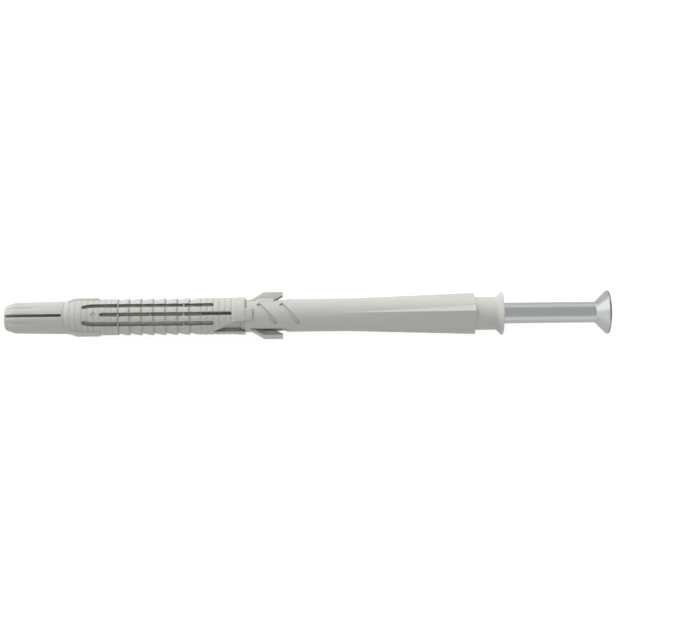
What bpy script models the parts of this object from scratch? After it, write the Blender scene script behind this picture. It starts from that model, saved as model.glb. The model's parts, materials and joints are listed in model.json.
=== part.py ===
"""Frame plug with its countersunk screw, lying on its side.

The plug is one nylon moulding: a split nose, a ringed and slotted expansion zone,
a smooth band, a neck with two locking wings, a plain sleeve, a ratchet flare and a
countersunk collar.  The screw stands part way out of the collar.

The long axis runs along X, from the nose (-X) to the screw head (+X).  Stations are
distances from the nose along that axis, and meridians are angles about it, measured
from straight up (+Z) towards +Y.
"""

import math

import bmesh
import bpy
from mathutils import Vector

MM = 0.001
SEGMENTS = 32

# Plug, along its length
PLUG_LENGTH = 135.0 * MM
NOSE_LENGTH = 16.3 * MM
NOSE_EDGE = 0.7 * MM
NOSE_CHAMFER = 2.6 * MM
RING_PITCH = 1.62 * MM
LEAD_RINGS = 9
TEETH = 7
TAIL_RINGS = 5
BAND_LENGTH = 3.5 * MM
NECK_LENGTH = 11.0 * MM
FLARE_SHARE = 0.686
SEAT_LENGTH = 7.5 * MM

# Plug, across
NOSE_END_RADIUS = 3.10 * MM
NOSE_EDGE_RADIUS = 3.56 * MM
NOSE_FRONT_RADIUS = 4.17 * MM
NOSE_BACK_RADIUS = 4.43 * MM
RING_RADIUS = 4.92 * MM
RING_DEPTH = 0.18 * MM
TOOTH_RADIUS = 4.99 * MM
TOOTH_DEPTH = 0.50 * MM
BAND_RADIUS = 5.10 * MM
BODY_RADIUS = 4.45 * MM
FLARE_CREST_RADIUS = 5.68 * MM
FLARE_DRAFT = 0.15 * MM
SEAT_RADIUS = 4.50 * MM
COLLAR_RADIUS = 5.95 * MM
COLLAR_RIM = 0.25 * MM
COLLAR_LIP = 0.45 * MM
BORE_RADIUS = 3.42 * MM
NOSE_BORE_RADIUS = 1.90 * MM
BORE_TAPER_LENGTH = 5.0 * MM
BORE_PHASE = 0.2

# Slots, and the split in the nose
SLOT_WIDTH = 1.00 * MM
SLOT_OFFSET = 2.47 * MM
SLOT_HOOK = 0.40 * MM
SLOT_FLOOR = 1.0 * MM
SLOT_END_DEPTH = 0.55 * MM
WEB_THICKNESS = 0.30 * MM
WEB_SINK = 0.75 * MM
SPLIT_WIDTH = 0.80 * MM
SPLIT_FLOOR = 2.4 * MM

# Side pads, wedge pockets, tabs and locking wings
PAD_REACH = 4.90 * MM
PAD_HALF_HEIGHT = 2.45 * MM
PAD_START = 0.6 * MM
PAD_RAMP = 2.2 * MM
PAD_LENGTH = 9.25 * MM
POCKET_SHELF = 2.05 * MM
POCKET_FLOOR = 0.90 * MM
POCKET_EDGE = 2.12 * MM
POCKET_TIP = 4.15 * MM
POCKET_WALL = 4.25 * MM
POCKET_RUN = 4.7 * MM
POCKET_LEAD = 1.15 * MM
CORE_RADIUS = 3.98 * MM
CORE_FLAT = 3.64 * MM
TAB_LENGTH = 2.25 * MM
TAB_HEIGHT = 0.50 * MM
TAB_FROM = math.radians(-24.6)
TAB_TO = math.radians(14.4)
WING_REACH = 6.05 * MM
WING_RISE = 2.60 * MM
WING_DROP = 1.20 * MM
WING_FLOOR = 0.20 * MM
WING_RIM = 0.62 * MM
WING_BEVEL = 0.38 * MM
WING_SLIT = 0.38 * MM
WING_SLIT_DEPTH = 0.95 * MM
WING_START = 1.30 * MM
WING_RAMP = 3.8 * MM
WING_EDGE = 5.1 * MM
WING_UNDERCUT = 2.45 * MM
FLAT_REACH = 3.80 * MM
FLAT_RUN_OUT = 0.77
SHOULDER_RADIUS = 5.0 * MM
SHOULDER_START = 2.4 * MM
SHOULDER_LENGTH = 4.2 * MM
SHOULDER_FROM = math.radians(41.0)
SHOULDER_TO = math.radians(57.0)

# Oblique grooves across the neck
GROOVE_WIDTH = 1.0 * MM
GROOVE_DEPTH = 0.42 * MM
GROOVE_RUN = 5.1 * MM
GROOVE_REACH = 2.71 * MM
GROOVE_FIRST = 6.3 * MM
GROOVE_SPACING = 6.13 * MM

# Ratchet flare
FLARE_TEETH = 4
FLARE_MERIDIAN = math.radians(-3.0)
FLARE_LEDGE_ANGLE = math.radians(49.0)
FLARE_STATIONS = 9

# Screw
SCREW_LENGTH = 140.0 * MM
SCREW_STANDOUT = 28.85 * MM
SHANK_RADIUS = 2.82 * MM
THREAD_LENGTH = 80.0 * MM
SCREW_CLEARANCE = 0.32 * MM
POINT_LENGTH = 6.5 * MM
HEAD_RADIUS = 5.85 * MM
HEAD_RIM = 0.60 * MM
HEAD_EDGE = 0.15 * MM
HEAD_FILLET = 0.70 * MM
RECESS_REACH = 3.60 * MM
RECESS_WIDTH = 1.90 * MM
RECESS_DEPTH = 3.30 * MM
RECESS_TAPER = 0.45
TICK_WIDTH = 0.45 * MM
TICK_DEPTH = 0.30 * MM
TICK_FROM = 2.30 * MM
TICK_TO = 4.60 * MM

# Stations worked out from the lengths
RINGS_START = NOSE_LENGTH
TEETH_START = RINGS_START + LEAD_RINGS * RING_PITCH
TAIL_START = TEETH_START + TEETH * 2 * RING_PITCH
BAND_START = TAIL_START + TAIL_RINGS * RING_PITCH
NECK_START = BAND_START + BAND_LENGTH
SLEEVE_START = NECK_START + NECK_LENGTH
FLARE_END = PLUG_LENGTH - SEAT_LENGTH
FLARE_LENGTH = (FLARE_END - SLEEVE_START) * FLARE_SHARE
FLARE_START = FLARE_END - FLARE_LENGTH
HEAD_FACE = PLUG_LENGTH + SCREW_STANDOUT
SCREW_POINT = HEAD_FACE - SCREW_LENGTH
BORE_FULL = SCREW_POINT - SCREW_CLEARANCE
ROD_RADIUS = BORE_RADIUS - SCREW_CLEARANCE
WIDEST_RADIUS = max(COLLAR_RADIUS, HEAD_RADIUS, FLARE_CREST_RADIUS)
AXIS_HEIGHT = WIDEST_RADIUS * math.cos(math.pi / SEGMENTS)
FACET = 2.0 * math.pi / SEGMENTS
PAST = 2.0 * MM
BURY = 0.40 * MM


def clear_scene():
    """Start from an empty file."""
    for old in list(bpy.data.objects):
        bpy.data.objects.remove(old, do_unlink=True)


def make_material(name, colour, roughness, metallic):
    """One Principled material, used by one piece."""
    material = bpy.data.materials.new(name)
    material.use_nodes = True
    shader = material.node_tree.nodes["Principled BSDF"]
    shader.inputs["Base Color"].default_value = (*colour, 1.0)
    shader.inputs["Roughness"].default_value = roughness
    shader.inputs["Metallic"].default_value = metallic
    return material


def on_meridian(station, angle, radius):
    """The point at a station, a meridian and a distance from the axis."""
    return Vector((station, radius * math.sin(angle), radius * math.cos(angle)))


def half_turn(sections):
    """The same sections turned half a turn about the plug's axis."""
    return [[Vector((p.x, -p.y, -p.z)) for p in section] for section in sections]


def add_loft(mesh, sections):
    """Skin a row of sections with equal point counts, and close both ends."""
    rows = [[mesh.verts.new(point) for point in section] for section in sections]
    count = len(rows[0])
    faces = []
    for row, following in zip(rows, rows[1:]):
        for i in range(count):
            j = (i + 1) % count
            faces.append(mesh.faces.new((row[i], row[j], following[j], following[i])))
    faces.append(mesh.faces.new(list(reversed(rows[0]))))
    faces.append(mesh.faces.new(rows[-1]))
    bmesh.ops.recalc_face_normals(mesh, faces=faces)


def circle(station, radius, phase=0.5):
    """A ring of points; a phase of a half puts a flat facet at the top and the bottom."""
    return [on_meridian(station, (i - phase) * FACET, radius) for i in range(SEGMENTS)]


def build_object(name, bodies, frame):
    """Make an object in the axis frame from lists of loft sections."""
    mesh = bmesh.new()
    for sections in bodies:
        add_loft(mesh, sections)
    data = bpy.data.meshes.new(name)
    mesh.to_mesh(data)
    mesh.free()
    made = bpy.data.objects.new(name, data)
    bpy.context.scene.collection.objects.link(made)
    made.parent = frame
    return made


def build_tool(name, bodies, frame):
    """Make a Boolean tool, which is left out of renders."""
    tool = build_object(name, bodies, frame)
    tool.hide_render = True
    tool.display_type = "WIRE"
    return tool


def combine(target, operation, tool):
    """Add one exact Boolean step."""
    step = target.modifiers.new(tool.name, "BOOLEAN")
    step.operation = operation
    step.solver = "EXACT"
    step.object = tool


def finish_surface(made, material):
    """Shade round stretches smooth and give the piece its material."""
    made.data.materials.append(material)
    made.data.shade_smooth()
    made.data.set_sharp_from_angle(angle=math.radians(28.0))


def prism(outline, low, high):
    """An outline of (station, y) points, raised from one height to another."""
    return [[Vector((s, y, z)) for s, y in outline] for z in (low, high)]


def patch(start, end, angle_from, angle_to, inner, outer):
    """A block that follows the plug's round between two stations and meridians."""
    steps = 4
    angles = [angle_from + (angle_to - angle_from) * i / steps for i in range(steps + 1)]
    section = [(a, outer) for a in angles] + [(a, inner) for a in reversed(angles)]
    return [[on_meridian(s, a, r) for a, r in section] for s in (start, end)]


def channel(line, width, radius):
    """A round-ended channel cut straight down, with a floor that follows a round.

    The line holds (station, y) points; the floor is never lower than SLOT_FLOOR.
    """
    half = width / 2.0
    points = [Vector(p) for p in line]
    lengths = [(b - a).length for a, b in zip(points, points[1:])]
    total = sum(lengths)
    turns = [math.radians(a) for a in (12.0, 45.0, 75.0)]
    marks = [(half * (1.0 - math.cos(a)), half * math.sin(a)) for a in turns]
    walked = [sum(lengths[:i]) for i in range(len(points))]
    middle = [(d, half) for d in walked if half < d < total - half]
    stops = marks + middle + [(total - d, h) for d, h in reversed(marks)]
    sections = []
    for distance, reach in stops:
        i = max(k for k in range(len(lengths)) if walked[k] <= distance)
        along = (points[i + 1] - points[i]) / lengths[i]
        centre = points[i] + along * (distance - walked[i])
        side = Vector((-along.y, along.x)) * reach
        low = []
        for spot in (centre - side, centre + side):
            height = math.sqrt(max(radius ** 2 - spot.y ** 2, SLOT_FLOOR ** 2))
            low.append(Vector((spot.x, spot.y, height)))
        high = [Vector((p.x, p.y, BAND_RADIUS + PAST)) for p in reversed(low)]
        sections.append(low + high)
    return sections


def turned(outline, name, frame):
    """A solid of revolution from (station, radius) points."""
    return build_object(name, [[circle(s, r) for s, r in outline]], frame)


def ring_outline():
    """The nose, the rings and the ratchet teeth, up to the smooth band."""
    points = [(0.0, NOSE_END_RADIUS), (NOSE_EDGE, NOSE_EDGE_RADIUS)]
    points.append((NOSE_CHAMFER, NOSE_FRONT_RADIUS))
    points.append((RINGS_START - RING_PITCH * 0.25, NOSE_BACK_RADIUS))
    for i in range(LEAD_RINGS):
        start = RINGS_START + i * RING_PITCH
        rise = min(1.0, (i + 1) / 3.0)
        crest = NOSE_BACK_RADIUS + (RING_RADIUS - NOSE_BACK_RADIUS) * rise
        points.append((start, crest - RING_DEPTH))
        points.append((start + RING_PITCH * 0.25, crest))
        points.append((start + RING_PITCH * 0.80, crest))
    for i in range(TEETH):
        start = TEETH_START + i * 2 * RING_PITCH
        points.append((start, TOOTH_RADIUS - TOOTH_DEPTH))
        points.append((start + RING_PITCH * 0.7, TOOTH_RADIUS - TOOTH_DEPTH * 0.45))
        points.append((start + RING_PITCH * 1.7, TOOTH_RADIUS))
    for i in range(TAIL_RINGS):
        start = TAIL_START + i * RING_PITCH
        points.append((start, TOOTH_RADIUS - RING_DEPTH))
        points.append((start + RING_PITCH * 0.25, TOOTH_RADIUS))
        points.append((start + RING_PITCH * 0.80, TOOTH_RADIUS))
    return points


def flare_section(station, share):
    """One section of the ratchet flare: ledges that rise from the round body.

    Each tooth leaves the body on its tangent, rises to a crest and drops back to the
    body down a slanting ledge.
    """
    base = BODY_RADIUS + FLARE_DRAFT * share
    crest = base + (FLARE_CREST_RADIUS - BODY_RADIUS - FLARE_DRAFT) * share
    per_tooth = SEGMENTS // FLARE_TEETH
    flank_steps = 3
    arc_steps = per_tooth - flank_steps - 2
    tooth_angle = 2.0 * math.pi / FLARE_TEETH
    flank_angle = math.acos(base / crest)
    slope = math.sin(FLARE_LEDGE_ANGLE) / base * crest
    foot_angle = math.pi - math.asin(slope) - (math.pi - FLARE_LEDGE_ANGLE)
    foot_angle = abs(foot_angle)
    section = []
    for tooth in range(FLARE_TEETH):
        start = FLARE_MERIDIAN + tooth * tooth_angle
        top = on_meridian(station, start + tooth_angle, crest)
        leave = start + tooth_angle - flank_angle
        tangent = on_meridian(station, leave, base)
        section.append(on_meridian(station, start, crest))
        for i in range(arc_steps + 1):
            angle = start + foot_angle + (leave - start - foot_angle) * i / arc_steps
            section.append(on_meridian(station, angle, base))
        for i in range(1, flank_steps + 1):
            section.append(tangent.lerp(top, i / (flank_steps + 1)))
    return section


def plug_body(frame):
    """The plug's outside as one loft, before anything is cut or added."""
    rings = [circle(s, r) for s, r in ring_outline()]
    rings.append(circle(BAND_START, TOOTH_RADIUS - RING_DEPTH))
    rings.append(circle(BAND_START + RING_PITCH * 0.15, TOOTH_RADIUS))
    rings.append(circle(BAND_START + BAND_LENGTH * 0.35, TOOTH_RADIUS))
    rings.append(circle(BAND_START + BAND_LENGTH * 0.45, BAND_RADIUS))
    rings.append(circle(NECK_START, BAND_RADIUS))
    rings.append(circle(NECK_START, BODY_RADIUS))
    rings.append(circle(FLARE_START, BODY_RADIUS))
    for i in range(1, FLARE_STATIONS):
        share = i / (FLARE_STATIONS - 1)
        rings.append(flare_section(FLARE_START + FLARE_LENGTH * share, share))
    cone = COLLAR_RADIUS - SEAT_RADIUS
    rings.append(circle(FLARE_END, SEAT_RADIUS))
    rings.append(circle(PLUG_LENGTH - COLLAR_RIM - cone, SEAT_RADIUS))
    rings.append(circle(PLUG_LENGTH - COLLAR_RIM, COLLAR_RADIUS))
    rings.append(circle(PLUG_LENGTH - COLLAR_RIM * 0.3, COLLAR_RADIUS))
    rings.append(circle(PLUG_LENGTH, COLLAR_RADIUS - COLLAR_RIM * 0.7))
    return build_object("wall_plug", [rings], frame)


def pocket_bodies():
    """The wedge pockets in the band and the flats behind the wings, on both sides."""
    outside = WING_REACH
    tip = (BAND_START - POCKET_RUN, POCKET_TIP)
    pocket = []
    for station, edge in (tip, (BAND_START + POCKET_LEAD, POCKET_EDGE), (NECK_START, POCKET_EDGE)):
        outline = [
            (edge, outside),
            (edge, POCKET_FLOOR),
            (POCKET_WALL, POCKET_FLOOR),
            (POCKET_WALL, POCKET_SHELF),
            (outside, POCKET_SHELF),
            (outside, outside),
        ]
        pocket.append([Vector((station, -y, z)) for y, z in outline])
    start = NECK_START + WING_START
    flat = [
        (start, -FLAT_REACH),
        (SLEEVE_START, -FLAT_REACH),
        (SLEEVE_START + (outside - FLAT_REACH) * FLAT_RUN_OUT, -outside),
        (start, -outside),
    ]
    side = prism(flat, -FLAT_REACH, FLAT_REACH)
    return [pocket, half_turn(pocket), side, half_turn(side)]


def core_bodies():
    """The core that shows at the bottom of the wedge pockets, flattened on both sides."""
    sections = []
    for station in (TAIL_START + RING_PITCH, NECK_START + BURY):
        ring = circle(station, CORE_RADIUS)
        sections.append([Vector((p.x, max(-CORE_FLAT, min(CORE_FLAT, p.y)), p.z)) for p in ring])
    return [sections]


def wing_sections():
    """One locking wing, with a trough in its underside behind a bevelled rim.

    The trough is deepest in a narrow slit beside the plug's flat.
    """
    inside = BODY_RADIUS * 0.6
    start = NECK_START + WING_START
    ramp_end = start + WING_RAMP
    back = ramp_end + WING_EDGE
    slant = WING_UNDERCUT / (WING_REACH - FLAT_REACH)
    slit = FLAT_REACH + WING_SLIT
    sections = []
    for station, reach in ((start, CORE_RADIUS * 0.93), (ramp_end, WING_REACH), (back, WING_REACH)):
        outline = [
            (inside, WING_RISE),
            (reach, WING_RISE),
            (reach, WING_BEVEL - WING_DROP),
            (reach - WING_RIM, -WING_DROP),
            (reach - WING_RIM, -WING_FLOOR),
            (min(slit, reach - WING_RIM - BURY / 8.0), -WING_FLOOR),
            (min(slit, reach - WING_RIM - BURY / 8.0), WING_SLIT_DEPTH - WING_FLOOR),
            (inside, WING_SLIT_DEPTH - WING_FLOOR),
        ]
        lean = slant if station == back else 0.0
        sections.append([Vector((station - lean * (reach - y), y, z)) for y, z in outline])
    return sections


def side_bodies():
    """Pads on the bulge, tabs on the neck and the two locking wings."""
    inside = BODY_RADIUS * 0.6
    pad_start = RINGS_START + PAD_START
    pad_end = RINGS_START + PAD_LENGTH
    pad = [
        (pad_start, inside),
        (pad_start, NOSE_BACK_RADIUS * 0.92),
        (pad_start + PAD_RAMP, PAD_REACH),
        (pad_end, PAD_REACH),
        (pad_end, inside),
    ]
    pads = prism(pad, -PAD_HALF_HEIGHT, PAD_HALF_HEIGHT)
    tabs = patch(NECK_START - BURY, NECK_START + TAB_LENGTH, TAB_FROM, TAB_TO,
                 BODY_RADIUS - BURY, BODY_RADIUS + TAB_HEIGHT)
    bodies = []
    for body in (pads, wing_sections(), tabs):
        bodies += [body, half_turn(body)]
    return bodies


def shoulder_bodies():
    """The shoulders that carry the body's round up to the roots of the wings."""
    start = NECK_START + WING_START + SHOULDER_START
    rise = [
        (SHOULDER_FROM, BODY_RADIUS - BURY),
        (SHOULDER_FROM, BODY_RADIUS - BURY / 8),
        (SHOULDER_TO, SHOULDER_RADIUS),
        (SHOULDER_TO + FACET, SHOULDER_RADIUS),
        (SHOULDER_TO + FACET, BODY_RADIUS - BURY),
    ]
    shoulder = [[on_meridian(start + along, a, r) for a, r in rise]
                for along in (0.0, SHOULDER_LENGTH)]
    return [shoulder, half_turn(shoulder)]


def slot_bodies():
    """The six long slots and the split that opens the nose."""
    middle_start = RINGS_START + 6 * RING_PITCH
    pair_start = RINGS_START + 3 * RING_PITCH
    pair_end = TAIL_START + RING_PITCH * 0.2
    bodies = [channel([(middle_start, 0.0), (BAND_START, 0.0)], SLOT_WIDTH, NOSE_BORE_RADIUS)]
    for sign in (-1, 1):
        hook = [
            (pair_start, sign * (SLOT_OFFSET - SLOT_HOOK)),
            (pair_start + RING_PITCH, sign * (SLOT_OFFSET - SLOT_HOOK * 0.3)),
            (pair_start + 2 * RING_PITCH, sign * SLOT_OFFSET),
            (pair_end, sign * SLOT_OFFSET),
        ]
        bodies.append(channel(hook, SLOT_WIDTH, NOSE_BORE_RADIUS))
    half = SPLIT_WIDTH / 2.0
    split_end = RINGS_START - RING_PITCH * 0.4
    split = [(-PAST, -half), (split_end, -half), (split_end, half), (-PAST, half)]
    bodies.append(prism(split, SPLIT_FLOOR, BAND_RADIUS + PAST))
    return bodies


def shallow_bodies():
    """The last stretch of each outer slot, which stops below the surface."""
    start = TAIL_START - SLOT_WIDTH * 0.5
    end = TAIL_START + 2 * RING_PITCH
    floor = TOOTH_RADIUS - SLOT_END_DEPTH
    return [channel([(start, sign * SLOT_OFFSET), (end, sign * SLOT_OFFSET)], SLOT_WIDTH * 0.98, floor)
            for sign in (-1, 1)]


def web_bodies():
    """Thin webs that bridge the slots below the surface."""
    reach = SLOT_WIDTH / 2.0 + BURY / 2.0
    half = WEB_THICKNESS / 2.0
    zone = TAIL_START - TEETH_START
    stations = [TEETH_START, TEETH_START + zone * 0.39, TEETH_START + zone * 0.785]
    bodies = []
    for number, station in enumerate(stations):
        offsets = (0.0,) if number == 1 else (-SLOT_OFFSET, 0.0, SLOT_OFFSET)
        for y in offsets:
            top = math.sqrt((TOOTH_RADIUS - WEB_SINK) ** 2 - y ** 2)
            corners = [(station - half, y - reach), (station + half, y - reach),
                       (station + half, y + reach), (station - half, y + reach)]
            web = prism(corners, SLOT_FLOOR * 1.2, top)
            bodies += [web, half_turn(web)]
    return bodies


def groove_bodies():
    """The oblique grooves across the neck, and the same on the other side."""
    bodies = []
    for number in range(2):
        centre = NECK_START + GROOVE_FIRST + number * GROOVE_SPACING
        line = []
        for i in range(5):
            share = i / 4 - 0.5
            line.append((centre + GROOVE_RUN * share, -2.0 * GROOVE_REACH * share))
        groove = channel(line, GROOVE_WIDTH, BODY_RADIUS - GROOVE_DEPTH)
        bodies += [groove, half_turn(groove)]
    return bodies


def bore_bodies():
    """The bore, with a narrow nose and a countersink in the collar."""
    mouth = COLLAR_RADIUS - COLLAR_LIP
    seat = PLUG_LENGTH - (mouth - BORE_RADIUS)
    outline = [
        (-PAST, NOSE_BORE_RADIUS),
        (BORE_FULL - BORE_TAPER_LENGTH, NOSE_BORE_RADIUS),
        (BORE_FULL, BORE_RADIUS),
        (seat, BORE_RADIUS),
        (PLUG_LENGTH + PAST, mouth + PAST),
    ]
    return [[circle(s, r, BORE_PHASE) for s, r in outline]]


def both_sides(bodies):
    """The bodies and their copies half a turn away."""
    return bodies + [half_turn(body) for body in bodies]


def build_plug(frame):
    """The one-piece plug."""
    plug = plug_body(frame)
    steps = [
        ("DIFFERENCE", "pocket_tool", pocket_bodies()),
        ("UNION", "core_tool", core_bodies()),
        ("UNION", "side_tool", side_bodies()),
        ("UNION", "shoulder_tool", shoulder_bodies()),
        ("DIFFERENCE", "slot_tool", both_sides(slot_bodies())),
        ("DIFFERENCE", "shallow_slot_tool", both_sides(shallow_bodies())),
        ("DIFFERENCE", "groove_tool", groove_bodies()),
        ("UNION", "web_tool", web_bodies()),
        ("DIFFERENCE", "bore_tool", bore_bodies()),
    ]
    for operation, name, bodies in steps:
        combine(plug, operation, build_tool(name, bodies, frame))
    finish_surface(plug, make_material("nylon", (0.56, 0.57, 0.53), 0.48, 0.0))


def screw_outline():
    """Half outline of the screw, from its point to its head."""
    rim_end = SCREW_LENGTH - HEAD_EDGE
    cone_end = SCREW_LENGTH - HEAD_RIM
    cone_start = cone_end - (HEAD_RADIUS - SHANK_RADIUS)
    points = [(0.0, ROD_RADIUS * 0.06), (POINT_LENGTH, ROD_RADIUS)]
    points.append((THREAD_LENGTH, ROD_RADIUS))
    points.append((THREAD_LENGTH + 2.0 * (ROD_RADIUS - SHANK_RADIUS), SHANK_RADIUS))
    reach = HEAD_FILLET * math.tan(math.radians(22.5))
    for i in range(4):
        angle = math.radians(45.0) * i / 3
        along = cone_start - reach + HEAD_FILLET * math.sin(angle)
        points.append((along, SHANK_RADIUS + HEAD_FILLET * (1.0 - math.cos(angle))))
    points.append((cone_end, HEAD_RADIUS))
    points.append((rim_end, HEAD_RADIUS))
    points.append((SCREW_LENGTH, HEAD_RADIUS - HEAD_EDGE))
    return points


def cross_section(station, scale):
    """A cross with four arms, across the screw's axis."""
    reach = RECESS_REACH * scale
    half = RECESS_WIDTH / 2.0 * (0.5 + scale / 2.0)
    waist = half * 1.25
    quarter = [(reach, -half), (reach, half), (waist, half * 1.08), (half * 1.08, waist)]
    section = []
    for turn in range(4):
        c, s = ((1, 0), (0, 1), (-1, 0), (0, -1))[turn]
        section += [Vector((station, y * c - z * s, y * s + z * c)) for y, z in quarter]
    return section


def drive_bodies():
    """The cross recess in the head and the four thin ticks between its arms."""
    per_depth = (1.0 - RECESS_TAPER) / RECESS_DEPTH
    above = TICK_DEPTH
    cross = [
        cross_section(SCREW_LENGTH + above, 1.0 + per_depth * above),
        cross_section(SCREW_LENGTH - RECESS_DEPTH, RECESS_TAPER),
        cross_section(SCREW_LENGTH - RECESS_DEPTH * 1.12, RECESS_TAPER * 0.25),
    ]
    return [cross]


def tick_bodies():
    """Four thin radial ticks, midway between the arms of the cross."""
    bodies = []
    for quarter in range(4):
        angle = math.radians(45.0 + 90.0 * quarter)
        along = Vector((0.0, math.cos(angle), math.sin(angle)))
        across = Vector((0.0, -math.sin(angle), math.cos(angle))) * (TICK_WIDTH / 2.0)
        sections = []
        for station, spread in ((SCREW_LENGTH - TICK_DEPTH, 0.5), (SCREW_LENGTH + TICK_DEPTH, 1.0)):
            base = Vector((station, 0.0, 0.0))
            sections.append([
                base + along * TICK_FROM - across * spread,
                base + along * TICK_TO - across * spread,
                base + along * TICK_TO + across * spread,
                base + along * TICK_FROM + across * spread,
            ])
        bodies.append(sections)
    return bodies


def build_screw(frame):
    """The countersunk screw, plain where its thread runs."""
    seat = bpy.data.objects.new("screw_frame", None)
    bpy.context.scene.collection.objects.link(seat)
    seat.parent = frame
    seat.location = (SCREW_POINT, 0.0, 0.0)
    screw = turned(screw_outline(), "countersunk_screw", seat)
    combine(screw, "DIFFERENCE", build_tool("cross_tool", drive_bodies(), seat))
    combine(screw, "DIFFERENCE", build_tool("tick_tool", tick_bodies(), seat))
    finish_surface(screw, make_material("zinc_plated_steel", (0.62, 0.65, 0.66), 0.30, 1.0))


def main():
    clear_scene()
    frame = bpy.data.objects.new("axis_frame", None)
    bpy.context.scene.collection.objects.link(frame)
    frame.location = (-HEAD_FACE / 2.0, 0.0, AXIS_HEIGHT)
    build_plug(frame)
    build_screw(frame)


main()
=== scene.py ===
"""The finished look of the wall plug and its screw: fine meshes, materials, light, camera.

Stations are distances from the plug's nose along its axis.  Meridians are angles about
that axis, measured from straight up (+Z) towards +Y.
"""

import json
import math

import bmesh
import bpy
from mathutils import Matrix, Vector

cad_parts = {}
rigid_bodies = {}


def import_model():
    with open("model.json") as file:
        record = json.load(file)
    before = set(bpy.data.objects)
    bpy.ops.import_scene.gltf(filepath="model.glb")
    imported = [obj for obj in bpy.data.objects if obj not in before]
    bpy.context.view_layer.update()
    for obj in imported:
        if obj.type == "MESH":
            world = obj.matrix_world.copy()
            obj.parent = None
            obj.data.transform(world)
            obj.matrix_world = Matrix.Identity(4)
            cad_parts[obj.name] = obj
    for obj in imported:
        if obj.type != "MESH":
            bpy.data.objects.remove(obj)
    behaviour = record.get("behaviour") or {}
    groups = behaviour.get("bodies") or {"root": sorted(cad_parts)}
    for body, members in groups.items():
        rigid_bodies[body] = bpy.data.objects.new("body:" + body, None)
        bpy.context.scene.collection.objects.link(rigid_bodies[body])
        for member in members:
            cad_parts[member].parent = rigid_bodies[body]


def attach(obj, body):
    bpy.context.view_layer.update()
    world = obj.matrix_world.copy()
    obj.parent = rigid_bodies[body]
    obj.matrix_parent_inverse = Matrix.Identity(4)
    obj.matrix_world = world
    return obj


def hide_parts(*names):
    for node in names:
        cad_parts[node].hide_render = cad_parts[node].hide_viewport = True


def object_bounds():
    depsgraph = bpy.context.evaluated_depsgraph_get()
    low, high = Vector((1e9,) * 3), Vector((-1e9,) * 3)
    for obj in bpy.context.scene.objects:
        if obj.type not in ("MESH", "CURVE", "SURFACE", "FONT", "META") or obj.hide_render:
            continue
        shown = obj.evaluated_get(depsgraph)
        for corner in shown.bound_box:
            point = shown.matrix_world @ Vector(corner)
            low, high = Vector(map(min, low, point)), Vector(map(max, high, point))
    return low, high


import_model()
cad_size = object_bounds()

MM = 0.001

# Points round the axis, those from one ledge of the flare to the next, and the flare's rings
ROUND = 144
PER_LEDGE = ROUND // 4
FLARE_STATIONS = 16

# Lengths along the plug
PLUG_LENGTH = 135.0 * MM
TOTAL_LENGTH = 163.85 * MM
NOSE_LENGTH = 16.3 * MM
RING_PITCH = 1.62 * MM
LEAD_RINGS = 9
TEETH = 7
TAIL_RINGS = 5
BAND_LENGTH = 3.5 * MM
NECK_LENGTH = 11.0 * MM
FLARE_LENGTH = 35.2 * MM
SEAT_LENGTH = 7.5 * MM

# Radii of the plug
NOSE_END_RADIUS = 3.05 * MM
NOSE_EDGE_RADIUS = 3.52 * MM
NOSE_FRONT_RADIUS = 4.17 * MM
NOSE_BACK_RADIUS = 4.43 * MM
RING_RADIUS = 4.92 * MM
RING_DEPTH = 0.15 * MM
TAIL_RING_DEPTH = 1.1 * RING_DEPTH
TOOTH_RADIUS = 4.99 * MM
TOOTH_DEPTH = 0.50 * MM
BAND_RADIUS = 5.10 * MM
BODY_RADIUS = 4.45 * MM
FLARE_CREST_RADIUS = 5.68 * MM
FLARE_DRAFT = 0.05 * MM
SEAT_RADIUS = 4.50 * MM
COLLAR_RADIUS = 5.91 * MM
COLLAR_RIM = 0.28 * MM
COLLAR_LIP = 0.45 * MM
BORE_RADIUS = 3.42 * MM
NOSE_BORE_RADIUS = 1.90 * MM
BORE_TAPER_LENGTH = 5.0 * MM

# Details of the plug
SLOT_WIDTH = 1.12 * MM
SLOT_OFFSET = 2.47 * MM
SLOT_HOOK = 0.40 * MM
SLOT_FLOOR = 1.0 * MM
SLOT_BED = 3.54 * MM
SLOT_SIDE_BED = 3.92 * MM
SLOT_TURN = math.radians(-1.5)
SLOT_END_DEPTH = 0.85 * MM
WEB_THICKNESS = 0.36 * MM
WEB_SINK = 0.60 * MM
SPLIT_WIDTH = 0.80 * MM
SPLIT_FLOOR = 2.4 * MM
FLUTES = 12
FLUTE_DEPTH = 0.26 * MM
FLUTE_START = 1.6 * MM
FLUTE_LENGTH = 11.5 * MM
FLUTE_WIDTH = math.radians(5.0)
MARK_RADIUS = 0.68 * MM
MARK_DEPTH = 0.09 * MM
MARK_STATION = 24.4 * MM
PAD_REACH = 4.89 * MM
PAD_HALF_HEIGHT = 2.45 * MM
PAD_START = 0.6 * MM
PAD_RAMP = 2.2 * MM
PAD_LENGTH = 9.25 * MM
POCKET_SHELF = 1.50 * MM
POCKET_FLOOR = 0.40 * MM
POCKET_EDGE = 2.12 * MM
POCKET_TIP = 4.48 * MM
POCKET_WALL = 4.52 * MM
POCKET_RUN = 4.95 * MM
POCKET_STEP = 1.0 * MM
POCKET_STEP_RADIUS = 4.12 * MM
POCKET_LEAD = 1.15 * MM
CORE_RADIUS = 3.66 * MM
CORE_FLAT = 3.50 * MM
TAB_LENGTH = 2.05 * MM
TAB_HEIGHT = 0.50 * MM
TAB_FROM = math.radians(-23.0)
TAB_TO = math.radians(16.0)
WING_REACH = 6.05 * MM
WING_RISE = 2.60 * MM
WING_DROP = 1.20 * MM
WING_FLOOR = 0.20 * MM
WING_RIM = 0.62 * MM
WING_BEVEL = -0.10 * MM
WING_TIP = 1.0 * MM
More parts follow.
